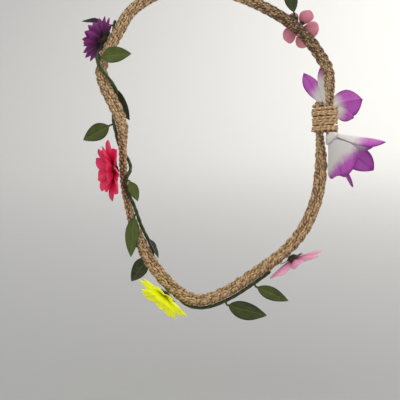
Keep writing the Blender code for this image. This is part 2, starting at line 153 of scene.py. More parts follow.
class Recipe:
    """One material and the nodes that colour it."""

    def __init__(self, name, **constants):
        self.material = bpy.data.materials.new(name)
        self.material.use_nodes = True
        self.tree = self.material.node_tree
        self.shader = self.tree.nodes["Principled BSDF"]
        for socket, value in constants.items():
            self.shader.inputs[socket.replace("_", " ").title()].default_value = value

    def node(self, kind, settings=None, inputs=None, output=0):
        """Adds a node: its settings first, then the numbers and links of its sockets."""
        made = self.tree.nodes.new(kind)
        for key, value in (settings or {}).items():
            if key == "stops":
                for _ in range(len(value) - 2):
                    made.color_ramp.elements.new(0.5)
                for element, (position, colour) in zip(made.color_ramp.elements, value):
                    element.position = position
                    element.color = (*colour, 1)
            else:
                setattr(made, key, value)
        for key, value in (inputs or {}).items():
            if isinstance(value, Value):
                self.tree.links.new(value.socket, made.inputs[key])
            else:
                made.inputs[key].default_value = value
        return Value(self, made.outputs[output])

    def number(self, operation, *values):
        return self.node("ShaderNodeMath", {"operation": operation}, dict(enumerate(values)))

    def wave(self, value):
        return self.number("SINE", value)

    def size(self, value):
        return self.number("ABSOLUTE", value)

    def step(self, value, low, high):
        """0 below low, 1 above high, and a smooth climb between."""
        settings = {"interpolation_type": "SMOOTHSTEP"}
        return self.node("ShaderNodeMapRange", settings, {"Value": value, "From Min": low, "From Max": high})

    def stored(self, *names):
        """Values kept on the mesh's points."""
        made = [self.node("ShaderNodeAttribute", {"attribute_name": name}, output="Fac") for name in names]
        return made if len(made) > 1 else made[0]

    def winding(self, pitch):
        """A wave that winds round a tube, with the tube's stored values."""
        along, round_x, round_y = self.stored("along_mm", "round_x", "round_y")
        phase = along * (TURN / pitch)
        return self.wave(phase) * round_x + self.number("COSINE", phase) * round_y, along, round_x, round_y

    def vector(self, x, y, z):
        return self.node("ShaderNodeCombineXYZ", None, {0: x, 1: y, 2: z})

    def noise(self, vector, scale, detail=3.0, rough=0.6):
        inputs = {"Vector": vector, "Scale": scale, "Detail": detail, "Roughness": rough}
        return self.node("ShaderNodeTexNoise", None, inputs, "Fac")

    def place(self):
        return self.node("ShaderNodeTexCoord", None, None, "Object")

    def blend(self, factor, first, second, mode="MIX"):
        first, second = (v if isinstance(v, (Value, float)) else (*v, 1) for v in (first, second))
        settings = {"data_type": "RGBA", "blend_type": mode, "clamp_factor": True}
        return self.node("ShaderNodeMix", settings, {0: factor, 6: first, 7: second}, 2)

    def ramp(self, factor, stops):
        return self.node("ShaderNodeValToRGB", {"stops": stops}, {"Fac": factor})

    def finish(self, colour, roughness, height, strength, distance):
        """Joins the colour, the roughness and a bump of that height to the shader."""
        self.tree.links.new(colour.socket, self.shader.inputs["Base Color"])
        # Painted light: a material with an emission strength also glows in its own colour
        if self.shader.inputs["Emission Strength"].default_value > 0:
            self.tree.links.new(colour.socket, self.shader.inputs["Emission Color"])
        self.tree.links.new(roughness.socket, self.shader.inputs["Roughness"])
        inputs = {"Height": height, "Strength": strength, "Distance": distance}
        normal = self.node("ShaderNodeBump", None, inputs)
        self.tree.links.new(normal.socket, self.shader.inputs["Normal"])
        return self.material


# ---------------------------------------------------------------- finishes


def yarn_finish(name, light, dark, twist_pitch=2.6):
    """Jute yarn: fibres that wind round it, with pale and dark patches along it, and painted shade where the
    yarns lie deep in the plait and along the shadowed stretch of rope.
    """
    r = Recipe(name, sheen_weight=0.12, sheen_roughness=0.6)
    fibres, along, round_x, round_y = r.winding(twist_pitch)
    tint, worn = r.stored("tint", "worn")
    strands = r.noise(r.vector(along * 0.07 + tint * 31, round_x * 1.6, round_y * 1.6), 2.6, 3.0, 0.6)
    patches = r.noise(r.vector(along * 0.05 + tint * 17, tint * 5, 0.0), 1.6, 2.0)
    # Painted shade: the yarns go darker where they lie deep in the plait, on the heart yarn and along the
    # shadowed stretch
    shade = strands * 0.75 + fibres * 0.24 + patches * 0.30 + tint * 0.60 - 0.15 - worn * 0.50
    middle = tuple((a + b) / 2 for a, b in zip(light, dark))
    colour = r.ramp(shade, [(0.0, dark), (0.45, middle), (1.0, light)])
    return r.finish(colour, strands * 0.2 + 0.62, fibres + strands * 0.7, 0.9, 0.4 * MM)


def tape_finish(name, light, dark):
    """Florist's tape: overlapping turns of crinkled green paper."""
    r = Recipe(name)
    laps, along, round_x, round_y = r.winding(5.5)
    crinkle = r.noise(r.vector(along, round_x * 1.5, round_y * 1.5), 1.4, 4.0, 0.7)
    colour = r.blend(crinkle * 0.9 + laps * 0.2, dark, light)
    return r.finish(colour, crinkle * 0.25 + 0.45, laps * 0.5 + crinkle, 0.6, 0.25 * MM)


def scaled_colour(colour, times, plus=0.0, most=1.0):
    """A colour with each channel multiplied and lifted, up to a limit."""
    times, plus = (np.broadcast_to(v, 3).tolist() for v in (times, plus))
    return tuple(min(c * t + p, most) for c, t, p in zip(colour, times, plus))


def weave_of(r, along, across, thread=0.42):
    """Threads of a plain cloth, from its two lengths in millimetres."""
    return r.wave(along * (TURN / thread)) * r.wave(across * (TURN / thread))


def leaf_finish(name, light, dark, vein, vein_spacing=3.1):
    """Green leaf cloth: a pressed midrib and side veins, darker towards the edge."""
    r = Recipe(name, sheen_weight=0.15, sheen_roughness=0.5)
    share, side, along, across, shade = r.stored("share", "side", "along_mm", "across_mm", "shade")
    rib = 1 - r.step(r.size(across), 0.12, 0.42)
    slant = (along - r.size(across) * 1.15) * (TURN / vein_spacing / 2)
    veins = r.step(r.size(r.wave(slant)), 0.10, 0.0) * r.step(r.size(across), 0.2, 0.8)
    lines = r.number("MAXIMUM", rib, veins * 0.55)
    mottle = r.noise(r.place(), 260.0, 4.0, 0.65)
    edge = r.step(r.size(side), 0.72, 1.0)
    # The stored shade darkens some leaves: partly their darker backs, partly painted shade
    body = r.blend(mottle * 0.9 + edge * 0.35 + shade * 0.85 - 0.05, light, dark)
    colour = r.blend(lines * (0.55 - shade * 0.35), body, vein)
    colour = r.blend(r.step(share, 0.18, 0.0) * 0.4, colour, dark)
    height = weave_of(r, along, across) * 0.12 + mottle * 0.35 - lines * 0.9
    return r.finish(colour, mottle * 0.2 + 0.5, height, 0.6, 0.3 * MM)


def petal_finish(name, shaded_base, middle, tip, crease=0.5, grooves=7.0, gloss=0.5, painted_glow=0.0):
    """Petal cloth: it changes from a darker foot, painted shade, to a lighter tip, painted highlight, with
    grooves; bright petals emit a little light, painted light.
    """
    # Painted light: the emission makes the petals shine as if lit through the cloth
    r = Recipe(name, sheen_weight=0.05, sheen_roughness=0.45, emission_strength=painted_glow)
    share, side, along, across, tint = r.stored("share", "side", "along_mm", "across_mm", "tint")
    ridge = r.wave(side * grooves + share * 1.2) * r.step(share, 0.02, 0.35)
    streak = r.noise(r.vector(along * 0.12, across * 1.1, tint * 23), 1.5, 3.0, 0.6)
    place = share + (streak - 0.5) * 0.22 + (tint - 0.5) * 0.14
    # Painted shade near the middle and painted highlight towards the tips
    colour = r.ramp(place, [(0.04, shaded_base), (0.42, middle), (0.96, tip)])
    # Painted shade in the grooves' troughs
    colour = r.blend(r.step(ridge, 0.2, -1.0) * crease * 0.4, colour, middle, "MULTIPLY")
    height = ridge * 0.5 + streak * 0.4 + weave_of(r, along, across) * 0.12
    return r.finish(colour, streak * 0.15 + gloss, height, crease, 0.3 * MM)


def orchid_finish(name, white, magenta, dark):
    """Orchid cloth: white at the throat, magenta outwards, with fine veins, a dark edge and a darker line down
    each petal's middle, painted shade along its fold.
    """
    r = Recipe(name, sheen_weight=0.04, sheen_roughness=0.4)
    share, side, along, across, tint = r.stored("share", "side", "along_mm", "across_mm", "tint")
    start = r.stored("dyed_from")
    cloud = r.noise(r.vector(along * 0.2, across * 0.2, tint * 19), 1.3, 3.0, 0.6)
    fan = r.noise(r.vector(share * 0.8, side * 7.0, tint * 7), 1.7, 2.0, 0.5)
    place = share + (cloud - 0.5) * 0.20 + (fan - 0.5) * 0.16
    dye = r.step(place - start, -0.16, 0.20)
    speckle = r.noise(r.vector(along * 1.4, across * 1.4, tint), 2.2, 2.0, 0.7)
    pale = tuple(m * 0.72 + w * 0.28 for m, w in zip(magenta, white))
    body = r.blend(speckle * 0.6 + cloud * 0.6 - 0.30, magenta, pale)
    colour = r.blend(dye, white, body)
    edge = r.number("MAXIMUM", r.step(r.size(side), 0.66, 1.0), r.step(share, 0.86, 1.0))
    # Painted shade: a darker line down the middle, where the petal folds
    midrib = r.step(r.size(side), 0.13, 0.0)
    colour = r.blend((edge * 0.80 + midrib * 0.45) * dye, colour, dark)
    height = fan * 0.5 + cloud * 0.4 + weave_of(r, along, across) * 0.10
    return r.finish(colour, cloud * 0.15 + 0.48, height, 0.45, 0.3 * MM)


def grain_finish(name, light, dark, scale, roughness=0.7, strength=0.8):
    """A flocked or moulded surface: fine grains of two colours."""
    r = Recipe(name)
    grains = r.noise(r.place(), scale, 4.0, 0.7)
    colour = r.ramp(grains + r.stored("shade") * 0.35 - 0.1, [(0.32, dark), (0.68, light)])
    return r.finish(colour, grains * 0.15 + roughness, grains, strength, 0.3 * MM)


def paper_finish(name, colour):
    """The studio's floor and backdrop: plain, very slightly uneven paper."""
    r = Recipe(name)
    fibre = r.noise(r.place(), 40.0, 3.0)
    return r.finish(r.blend(fibre, scaled_colour(colour, 0.97), colour), fibre * 0.1 + 0.85, fibre, 0.05, 0.2 * MM)


# ---------------------------------------------------------------- lines and meshes


def smooth_path(points, per_span=12):
    """A Catmull-Rom curve through rows of numbers, as an array of rows."""
    rows = np.array(points, float)
    padded = np.vstack((2 * rows[0] - rows[1], rows, 2 * rows[-1] - rows[-2]))
    path = []
    for before, start, end, after in zip(padded, padded[1:], padded[2:], padded[3:]):
        for t in np.arange(per_span) / per_span:
            turn = 2 * before - 5 * start + 4 * end - after + t * (3 * start - before - 3 * end + after)
            path.append(start + 0.5 * t * (end - before + t * turn))
    path.append(rows[-1])
    return np.array(path)


def unit(rows):
    return rows / np.linalg.norm(rows, axis=-1, keepdims=True)


def without(rows, directions):
    """The part of each row that is square to its direction, made one long."""
    return unit(rows - directions * np.sum(rows * directions, axis=-1, keepdims=True))


def distances(line):
    return np.concatenate(([0.0], np.cumsum(np.linalg.norm(np.diff(line, axis=0), axis=1))))


class Rope:
    """The rope's centre line, with its direction and the turn of its flat side at any place."""

    def __init__(self):
        reach = WHIPPING_LENGTH / 2 + END_SHOWING
        along = np.linspace(-reach, reach, 5)[:, None] * BINDING_AXIS
        apart = np.array((ENDS_APART, 0, 0))
        straight = np.full((5, 1), 90.0)
        upper = np.hstack((BINDING_CENTRE + apart + along, straight))
        lower = np.hstack((BINDING_CENTRE - apart + along, straight))
        free = np.array(ROUTE) * (MM, MM, MM, 1)
        self.rows = smooth_path(np.vstack((upper, free, lower)))
        self.places = distances(self.rows[:, :3])
        self.length = self.places[-1]
        self.share = self.places / self.length

    def at(self, share):
        return np.stack([np.interp(share, self.share, self.rows[:, k]) for k in range(3)], axis=-1)

    def frame(self, share):
        """Unit vectors along the rope, forwards and outwards."""
        share = np.asarray(share, float)
        along = unit(self.at(share + 0.002) - self.at(share - 0.002))
        ahead = without(np.broadcast_to((0.0, -1.0, 0.0), along.shape), along)
        return along, ahead, np.cross(along, ahead)

    def flat(self, share):
        """Unit vectors across the plait's width and through its thickness."""
        _, ahead, outward = self.frame(share)
        turn = np.radians(np.interp(share, self.share, self.rows[:, 3]))[..., None]
        wide = outward * np.cos(turn) + ahead * np.sin(turn)
        return wide, ahead * np.cos(turn) - outward * np.sin(turn)

    def beside(self, share, degrees, distance):
        """Points at an angle round the rope, a distance clear of its surface."""
        _, ahead, outward = self.frame(share)
        angle = np.radians(degrees)[..., None]
        direction = ahead * np.cos(angle) + outward * np.sin(angle)
        wide, thin = self.flat(share)
        across = np.sum(direction * wide, axis=-1) / HALF_WIDTH
        through = np.sum(direction * thin, axis=-1) / (HALF_THICKNESS * 1.12)
        reach = 1 / np.hypot(across, through)
        return self.at(share) + direction * (reach + distance)[..., None]


ROPE = Rope()


class Shape:
    """Points, faces and values on the points, gathered for one mesh."""

    def __init__(self):
        self.points = []
        self.faces = []
        self.values = {}
        self.count = 0

    def add(self, points, faces, **values):
        self.points.append(points)
        self.faces.extend([[i + self.count for i in face] for face in faces])
        for name, value in values.items():
            self.values.setdefault(name, []).append((self.count, np.broadcast_to(value, len(points))))
        self.count += len(points)

    def add_sheet(self, points, **values):
        """A grid of points, with values that may change along it and across it."""
        size = points.shape[:2]
        flat = {name: np.broadcast_to(value, size).ravel() for name, value in values.items()}
        self.add(points.reshape(-1, 3), grid_faces(*size), **flat)

    def build(self, name, material, thickness=0.0):
        """Makes the object; a thickness turns its sheets into thin solid cloth."""
        mesh = bpy.data.meshes.new(name)
        mesh.from_pydata(np.vstack(self.points).tolist(), [], self.faces)
        for key, runs in self.values.items():
            data = np.zeros(self.count, np.float32)
            for start, value in runs:
                data[start : start + len(value)] = value
            mesh.attributes.new(key, "FLOAT", "POINT").data.foreach_set("value", data)
        mesh.materials.append(material)
        mesh.shade_smooth()
        mesh.validate()
        obj = bpy.data.objects.new(name, mesh)
        bpy.context.scene.collection.objects.link(obj)
        if thickness:
            shell = obj.modifiers.new("Cloth thickness", "SOLIDIFY")
            shell.thickness = thickness
            shell.offset = 0
        return obj


def grid_faces(rows, columns, closed=False):
    """Quads of a grid of points; a closed grid joins its last column to its first."""
    last = columns if closed else columns - 1
    faces = []
    for i in range(rows - 1):
        for k in range(last):
            a, b = i * columns + k, i * columns + (k + 1) % columns
            faces.append((a, b, b + columns, a + columns))
    return faces


def closed_faces(rows, sides):
    """The faces of a round form and of its two flat ends."""
    ends = [tuple(range(sides))[::-1], tuple(range((rows - 1) * sides, rows * sides))]
    return grid_faces(rows, sides, closed=True) + ends


def add_tube(shape, line, radius, reference, sides=6, **values):
    """A round cord along a line; the reference direction keeps it from twisting."""
    radius = np.broadcast_to(radius, len(line))
    tangent = unit(np.gradient(line, axis=0))
    normal = without(np.broadcast_to(reference, line.shape), tangent)
    side = np.cross(tangent, normal)
    angle = np.arange(sides) * TURN / sides
    ring = np.cos(angle)[None, :, None] * normal[:, None, :] + np.sin(angle)[None, :, None] * side[:, None, :]
    points = (line[:, None, :] + radius[:, None, None] * ring).reshape(-1, 3)
    per_point = {k: np.repeat(v, sides) if np.size(v) > 1 else v for k, v in values.items()}
    shape.add(
        points,
        closed_faces(len(line), sides),
        along_mm=np.repeat(distances(line) / MM, sides),
        round_x=np.tile(np.cos(angle), len(line)),
        round_y=np.tile(np.sin(angle), len(line)),
        **per_point,
    )


def add_turned(shape, place, profile, sides=28, lobes=0, depth=0.0, **values):
    """A turned form from rows of radius and height in mm; lobes ripple its radius."""
    rows = smooth_path(profile, 4) * MM
    angle = np.arange(sides) * TURN / sides
    ripple = 1 + depth * np.cos(lobes * angle)
    radius = np.maximum(rows[:, :1], NEARLY_CLOSED)
    x = radius * np.cos(angle) * ripple
    y = radius * np.sin(angle) * ripple
    z = np.broadcast_to(rows[:, 1:], x.shape)
    points = place(np.stack((x, y, z), axis=-1).reshape(-1, 3))
    shape.add(points, closed_faces(len(rows), sides), **values)


def settle(obj, body, slot, *nodes):
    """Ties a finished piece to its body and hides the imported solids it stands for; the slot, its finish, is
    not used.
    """
    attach(obj, body)
    if nodes:
        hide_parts(*nodes)


# ---------------------------------------------------------------- rope, whipping and vine


def plait_yarns(pitch, yarn_width):
    """The plait's yarns: three flat strands of five yarns, with the painted shade on each where it lies deep
    among the others.
    """
    points_per_pitch = 18
    pitches = ROPE.length / pitch
    share = np.linspace(0, 1, round(pitches * points_per_pitch) + 1)
    centre = ROPE.at(share)
    wide, thin = ROPE.flat(share)
    spacing = yarn_width * 0.92
    swing = HALF_WIDTH - spacing * 2 - yarn_width / 2
    edge = HALF_WIDTH - yarn_width / 2
    lift = HALF_THICKNESS - yarn_width / 2
    for strand in range(3):
        phase = TURN * (pitches * share + strand / 3)
        slant = np.arctan(swing * TURN / pitch * np.cos(phase))
        for number in range(-2, 3):
            wander = 0.16 * MM * np.sin(TURN * share * (23 + strand * 5) + strand * 2 + number * 2.1)
            across = swing * np.sin(phase) + 1.12 * number * spacing / np.cos(slant) + wander
            across = edge * np.tanh(1.1 * across / edge) / math.tanh(1.25)
            bulge = np.sqrt(np.clip(1 - (across / HALF_WIDTH) ** 2, 0.16, 1))
            over = np.sin(2 * phase + number * 0.22)
            height = lift * over * bulge
            # Painted shade: darkest where a yarn passes down between the others
            deep_shade = 0.55 * (1 - np.abs(over)) ** 0.8
            yield share, centre + wide * across[:, None] + thin * height[:, None], thin, deep_shade


def painted_shade_at(share):
    """Painted shade on the rope at each place: most towards the top of the whipped side, where the rope lies in
    shadow.
    """
    return np.clip(1.1 - np.abs(share - 0.135) / 0.085, 0, 1)


def build_rope(settings):
    """The plait, the heart yarn that its strands close round, and its fine loose fibres."""
    draw = random.Random(4)
    material = yarn_finish("jute yarn", settings.light_yarn, settings.dark_yarn)
    shape = Shape()
    lines = []
    for share, line, thin, deep_shade in plait_yarns(settings.plait_pitch, settings.yarn_width):
        radius = settings.yarn_width / 2 * (1 + 0.09 * np.sin(share * 700 + draw.random() * TURN))
        # Painted shade: the shadowed stretch of rope, and the yarns' deep places
        add_tube(shape, line, radius, thin, 8, tint=draw.random(), worn=painted_shade_at(share) + deep_shade)
        lines.append(line)
    heart, heart_radius = ROPE.at(np.linspace(0, 1, 400)), 1.7 * MM
    # The heart yarn is darkened with painted shade, as it shows only in the gaps between the strands
    add_tube(shape, heart, heart_radius, (0.3, 0.5, 0.8), 10, tint=0.2, worn=0.9)
    rope = shape.build("plaited_rope", material)
    settle(rope, "rope", "jute", "braid_strand_1", "braid_strand_2", "braid_strand_3")
    fuzz = Shape()
    for _ in range(settings.loose_fibres):
        line = draw.choice(lines)
        i = draw.randrange(2, len(line) - 3)
        centre = ROPE.at(i / (len(line) - 1))
        out = unit(line[i] - centre)
        along = unit(line[i + 1] - line[i])
        add_fibre(fuzz, line[i] + out * 0.4 * MM, out, along, draw, draw.uniform(1.2, 3.0))
    for end, way in ((0, -1), (-1, 1)):
        for line in lines:
            for _ in range(5):
                out = np.array([draw.uniform(-0.5, 0.5) for _ in range(3)]) + BINDING_AXIS * way
                add_fibre(fuzz, line[end], unit(out), BINDING_AXIS * way, draw, draw.uniform(0.8, 1.7))
    settle(fuzz.build("loose_jute_fibres", material), "rope", "jute")


def add_fibre(shape, foot, out, along, draw, length):
    """One fine fibre that leaves the rope and bends along it."""
    reach = np.linspace(0, 1, 4)[:, None] * length * MM
    lean = along * draw.uniform(-0.9, 0.9) + np.array([draw.uniform(-0.3, 0.3) for _ in range(3)])
    line = foot + out * reach * 0.55 + lean * reach * reach / (length * MM)
    radius = np.array((0.075, 0.06, 0.045, 0.02)) * MM
    add_tube(shape, line, radius, (0.31, 0.52, 0.79), 3, tint=draw.random(), worn=0.0)


def add_twine(shape, line, reference, radius, twist_pitch, draw):
    """Twine of two plies that wind round each other along a line."""
    place = distances(line)
    tangent = unit(np.gradient(line, axis=0))
    normal = without(np.broadcast_to(reference, line.shape), tangent)
    side = np.cross(tangent, normal)
    for ply in range(2):
        angle = (TURN * (place / twist_pitch + ply / 2))[:, None]
        offset = (normal * np.cos(angle) + side * np.sin(angle)) * radius * 0.40
        add_tube(shape, line + offset, radius * 0.66, reference, 8, tint=draw.random(), worn=0.0)


def build_whipping(settings):
    """Twine wound round both rope ends, with the little eye it was pulled through and its tail."""
    draw = random.Random(9)
    radius = settings.twine_width / 2
    turns, pitch, squareness = 8.5, 1.95 * MM, 2.7
    half_x = ENDS_APART + HALF_THICKNESS + 0.65 * MM + radius
    half_y = HALF_WIDTH + 0.65 * MM + radius
    side = np.array((1.0, 0, 0))
    front = np.cross(BINDING_AXIS, side)
    step = np.linspace(0, 1, round(turns * 48) + 1)
    angle = TURN * turns * step
    c, s = np.cos(angle), np.sin(angle)
    size = (np.abs(c) ** squareness + np.abs(s) ** squareness) ** (-1 / squareness)
    size *= 1 + 0.030 * np.sin(angle * 0.17 + 1.0) + 0.012 * np.sin(angle * 1.13)
    drift = 0.34 * MM * np.sin(angle * 0.37 + 0.6) + 0.30 * MM * np.sin(angle + 2.6)
    drift += 0.16 * MM * np.sin(angle * 1.31)
    rise = (step - 0.5) * turns * pitch + drift
    line = BINDING_CENTRE + np.outer(c * size * half_x, side) + np.outer(s * size * half_y, front)
    line += np.outer(rise, BINDING_AXIS)
    shape = Shape()
    add_twine(shape, line, BINDING_AXIS, radius, 9.0 * MM, draw)
    ring = np.linspace(0, TURN, 25)
    eye = BINDING_CENTRE - side * 4.1 * MM + front * 5.2 * MM + BINDING_AXIS * 9.8 * MM
    loop = eye + np.outer(np.cos(ring) * 1.5 * MM, side) + np.outer(np.sin(ring) * 1.7 * MM, BINDING_AXIS)
    add_twine(shape, loop, front, radius * 0.62, 2.6 * MM, draw)
    foot = BINDING_CENTRE - side * 4.6 * MM + front * 5.6 * MM - BINDING_AXIS * 8.0 * MM
    tail = foot + smooth_path(((0, 0, 0), (0.3, -0.5, -2.2), (0.5, 0.4, -4.2), (0.1, 1.0, -6.0)), 8) * MM
    add_twine(shape, tail, side, radius * 0.8, 3.0 * MM, draw)
    light, dark = (scaled_colour(v, 1.12, most=1.2) for v in (settings.light_yarn, settings.dark_yarn))
    material = yarn_finish("jute twine", light, dark, 3.4)
    settle(shape.build("whipping_twine", material), "rope", "twine", "binding_twine")


def build_vine():
    """The taped wire stems that wind along the rope."""
    material = tape_finish("stem tape", (0.070, 0.110, 0.020), (0.012, 0.022, 0.005))
    for name, rows in (("long", LONG_VINE), ("top", TOP_VINE)):
        path = smooth_path(rows, 10)
        line = ROPE.beside(path[:, 0], path[:, 1], VINE_DIAMETER / 2 + TOUCH)
        radius = VINE_DIAMETER / 2 * (1 + 0.08 * np.sin(distances(line) / MM * 1.1))
        radius[0] *= 0.55
        radius[-1] *= 0.45
        shape = Shape()
        add_tube(shape, line, radius, STRAY, 10)
        for number in (11,) if name == "top" else range(1, 11):
            foot = np.array(JOINTS[f"leaf_{number:02d}_bend"]["pos_m"])
            root = line[np.argmin(np.linalg.norm(line - foot, axis=1))]
            stalk = root + np.outer((0, 0.4, 0.75, 1.0), foot - root)
            add_tube(shape, stalk, np.array((0.95, 0.75, 0.6, 0.45)) * MM, STRAY, 8)
        settle(shape.build(f"vine_{name}", material), "rope", "stem_tape", f"vine_stem_{name}")


# ---------------------------------------------------------------- leaves


def leaf_place(node):
    """A leaf's foot, its ways to the tip, across and up, its length and its half width."""
    joint = JOINTS[f"{node}_bend"]
    foot, across = np.array(joint["pos_m"]), unit(np.array(joint["axis"]))
    points = np.array([v.co for v in frame["nodes"][node].data.vertices]) - foot
    tip = points[np.argmax(np.linalg.norm(points, axis=1))]
    curl = math.atan(0.10)
    slope = without(tip, across)
    face = np.cross(slope, across)
    forward = slope * math.cos(curl) + face * math.sin(curl)
    length = float(np.max(points @ forward))
    return foot, forward, across, np.cross(forward, across), length, float(np.max(np.abs(points @ across)))


def build_leaves(settings):
    """Eleven pressed cloth leaves, each on its own short stalk."""
    material = leaf_finish("leaf cloth", settings.leaf_green, settings.leaf_dark, settings.leaf_vein)
    # Darker leaves: partly their darker backs, partly painted shade where they lie behind the rope
    shades = {1: 0.85, 3: 0.95, 4: 0.15, 7: 1.0, 8: 0.6, 9: 0.35, 10: 0.2, 11: 0.55}
    draw = random.Random(21)
    trough, droop, midrib, thinnest = 0.20, 0.10, 0.35 * MM, 0.62 * MM
    s = np.linspace(0, 1, 30)[:, None]
    a = np.linspace(-1, 1, 13)[None, :]
    for number in range(1, 12):
        node = f"leaf_{number:02d}"
        foot, forward, across, up, length, half_width = leaf_place(node)
        blade = np.clip((s - 0.06) / 0.94, 0, 1)
        outline = half_width * np.sin(math.pi * blade**0.82).clip(0) ** 0.85
        half = np.maximum(outline, thinnest * (1 - 0.75 * s))
        phase, ripple = draw.random() * TURN, draw.uniform(0.25, 0.5) * MM
        ripples = ripple * np.sin(s * 11 + phase + a) * a**2 * np.sin(math.pi * s)
        height = trough * np.abs(a) ** 1.3 * half - droop * length * s * s + ripples
        height = height - midrib * np.exp(-((a / 0.10) ** 2)) * np.sin(math.pi * s) ** 0.5
        side = a * half
        x = np.broadcast_to(length * s, side.shape)
        points = foot + x[..., None] * forward + side[..., None] * across + height[..., None] * up
        shape = Shape()
        shade = shades.get(number, 0.0)
        shape.add_sheet(points, share=s, side=a, along_mm=x / MM, across_mm=side / MM, shade=shade)
        settle(shape.build(f"cloth_{node}", material, 0.32 * MM), node, "leaf_fabric", node)


# ---------------------------------------------------------------- flowers


class Head:
    """Where a flower head stands: its pin's foot and direction, and the way that is up on its face."""

    def __init__(self, name, up=(0, 0, 1)):
        joint = JOINTS[f"{name}_turn"]
        self.name = name
        self.origin = np.array(joint["pos_m"])
        self.z = unit(np.array(joint["axis"]))
        self.x = without(np.array(up, float), self.z)
        self.y = np.cross(self.z, self.x)

    def place(self, points):
        return self.origin + points @ np.stack((self.x, self.y, self.z))


def outline_of(kind, s):
    """The half width along a petal, as a share of its widest."""
    if kind == "sepal":
        swell = 0.36 + 0.64 * np.sin(math.pi / 2 * np.minimum(s / 0.62, 1)) ** 1.3
        return np.where(s < 0.62, swell, np.cos(np.clip((s - 0.62) / 0.38, 0, 1) * math.pi / 2) ** 0.78)
    widest, foot = {"broad": (0.62, 0.30), "round": (0.60, 0.22)}[kind]
    swell = foot + (1 - foot) * np.sin(math.pi / 2 * np.minimum(s / widest, 1)) ** 1.1
    closing = 0.92 if kind == "broad" else 1.0
    close = np.sqrt(np.clip(1 - closing * np.clip((s - widest) / (1 - widest), 0, 1) ** 2.2, 0, 1))
    return np.where(s < widest, swell, close)


@dataclass
class Petal:
    """One petal: sizes in millimetres, angles in degrees, the rest as shares of the petal."""

    azimuth: float
    length: float
    half_width: float
    rise: float
    rise_end: float
    kind: str = "round"
    cup: float = 0.25
    ripple: float = 0.0
    notch: float = 0.0
    waves: float = 7.0
    fold: float = 0.0
    phase: float = 0.0
    tint: float = 0.5
    twist: float = 0.0
    dyed_from: float = 0.5
    skew: float = 0.0
    slope: float = 0.0

    def add(self, shape, head, hub, height, rows=17, columns=11):
        """Adds the petal's sheet: it rises along an arc from the hub, and its rows crowd at the tip."""
        s = 1 - (1 - np.linspace(0, 1, rows)[:, None]) ** 1.7
        a = np.linspace(-1, 1, columns)[None, :]
        length, rise = self.length * MM, math.radians(self.rise)
        bend = math.radians(self.rise_end - self.rise) or 1e-6
        round_end = 0.10 if self.kind == "broad" else 0.0
        notches = self.notch * (0.5 + 0.5 * np.cos(a * 3 * math.pi)) * s**8
        reach = s * (1 - round_end * a * a * s**3 - notches) * (1 - self.slope * a * s * s)
        width = self.half_width * MM * outline_of(self.kind, s)
        angle = rise + bend * reach
        out = length * (np.sin(angle) - math.sin(rise)) / bend
        high = length * (math.cos(rise) - np.cos(angle)) / bend
        roll = math.radians(self.twist) * s
        ripples = self.ripple * MM * np.sin(s * self.waves + self.phase + a * 1.5) * a * a * s
        crease = self.fold * width * np.exp(-((a / 0.22) ** 2)) * (1 - s * 0.5)
        lift = self.cup * a * a * width + ripples - crease
        side = a * width * np.cos(roll) - lift * np.sin(roll)
        lift = lift * np.cos(roll) + a * width * np.sin(roll)
        radial = hub + out - lift * np.sin(angle)
        up = height + high + lift * np.cos(angle)
        c, d = math.cos(math.radians(self.azimuth)), math.sin(math.radians(self.azimuth))
        shape.add_sheet(
            head.place(np.stack((radial * c - side * d, radial * d + side * c, up), axis=-1)),
            share=s,
            side=a,
            along_mm=reach * length / MM,
            across_mm=a * width / MM,
            tint=self.tint,
            dyed_from=self.dyed_from + self.skew * a,
        )


def add_hub(shape, head, hub, height):
    """The ring of cloth at the middle of a layer, round the pin."""
    sides = 32
    radius = np.repeat((PIN_HOLE, hub * 1.08), sides)
    angle = np.tile(np.arange(sides) * TURN / sides, 2)
    points = np.stack((radius * np.cos(angle), radius * np.sin(angle), np.full(2 * sides, height)), axis=-1)
    shape.add(head.place(points), grid_faces(2, sides, closed=True), share=0.0, tint=0.5, dyed_from=0.9)


def petal_ring(count, length, half_width, rise, rise_end, draw, turned=0.0, **shape):
    """Petals spaced evenly round a head, no two quite alike."""
    return [
        Petal(
            360 * i / count + turned + draw.uniform(-2.5, 2.5),
            length * draw.uniform(0.94, 1.02),
            half_width * draw.uniform(0.94, 1.03),
            rise + draw.uniform(-2.5, 2.5),
            rise_end + draw.uniform(-5, 5),
            phase=draw.random() * TURN,
            tint=draw.random(),
            twist=draw.uniform(-9, 9),
            **shape,
        )
        for i in range(count)
    ]


def build_layer(head, part, petals, material, slot, hub, height, thickness=0.34, fineness=(17, 11)):
    """One layer of petals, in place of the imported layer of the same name."""
    shape = Shape()
    add_hub(shape, head, hub * MM, height * MM)
    for petal in petals:
        petal.add(shape, head, hub * MM, height * MM, *fineness)
    node = f"{head.name}_{part}"
    settle(shape.build(f"{node}_cloth", material, thickness * MM), f"{head.name}_head", slot, node)


def build_button(head, radius, under, dome, grains, material, slot):
    """The middle of a flower: a low dome set with fine grains, and the pin below it."""
    shape = Shape()
    profile = [(0, under + dome * 0.8), (radius * 0.6, under + dome * 0.66), (radius, under + 0.1)]
    profile += [(radius * 0.8, under), (1.0, under), (1.0, -1.5), (0.0, -1.55)]
    add_turned(shape, head.place, profile, 24, shade=0.7)
    for i in range(grains):
        spot = math.sqrt((i + 0.5) / grains)
        angle = i * math.pi * (3 - math.sqrt(5))
        r = spot * radius * 0.96
        high = under + dome * 0.8 * math.sqrt(1 - 0.85 * spot**2)
        foot = np.array((r * math.cos(angle), r * math.sin(angle), high))
        lean = np.array((math.cos(angle) * spot * 0.8, math.sin(angle) * spot * 0.8, 1.0))
        line = (foot + np.outer((-0.2, 0.25, 0.45, 0.55), unit(lean))) * MM
        radii = np.array((0.20, 0.26, 0.20, 0.05)) * MM * math.sqrt(radius / 2.5)
        add_tube(shape, head.place(line), radii, head.x, 6, shade=1 - spot)
    node = f"{head.name}_centre"
    settle(shape.build(f"{node}_grains", material), f"{head.name}_head", slot, node)


